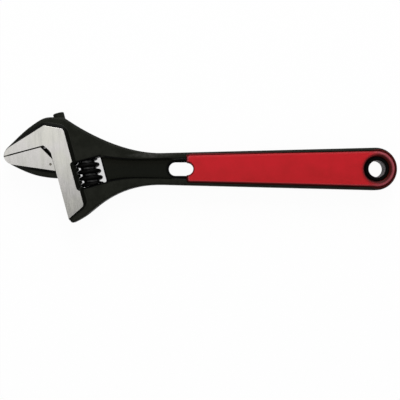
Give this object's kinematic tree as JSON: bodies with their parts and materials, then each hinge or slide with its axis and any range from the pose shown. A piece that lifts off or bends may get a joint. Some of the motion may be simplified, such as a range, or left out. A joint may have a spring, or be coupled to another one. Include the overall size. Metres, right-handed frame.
{
  "type": "adjustable wrench",
  "caption": "Adjustable wrench: black forged body with a fixed jaw, a sliding jaw driven by a thumb worm, red moulded grip inlays, a slot and a hang hole.",
  "frame": {"origin": "centre of the hang hole, at mid thickness", "axes": "+Z square to the flat side, +X along the handle from the head to the hang hole, +Y towards the fixed jaw's side"},
  "size_m": [0.2538, 0.0718, 0.0156],
  "materials": {
    "forged_black": "black phosphate on forged steel, with ground faces on the head",
    "jaw_steel": "ground faces, black elsewhere",
    "worm_black": "glossy black",
    "pin_steel": "dark steel",
    "spring_steel": "spring wire",
    "grip_red": "moulded, satin"
  },
  "bodies": {
    "wrench_body": {"body": "forged_black", "worm_pin": "pin_steel", "worm_spring": "spring_steel", "front_grip_inlay": "grip_red", "rear_grip_inlay": "grip_red"},
    "jaw": {"movable_jaw": "jaw_steel"},
    "adjusting_worm": {"worm": "worm_black"}
  },
  "joints": [
    {"name": "worm_spin", "type": "hinge", "parent": "wrench_body", "child": "adjusting_worm", "pos_m": [-0.1854, -0.0026, 0], "axis": [0.2588, -0.9659, 0], "range_deg": [0, 2512]},
    {"name": "jaw_slide", "type": "slide", "parent": "wrench_body", "child": "jaw", "axis": [0.2588, -0.9659, 0], "range_m": [0, 0.03]}
  ],
  "couplings": [
    {"joint": "worm_spin", "follows": "jaw_slide", "rad_per_m": 1461.2}
  ]
}
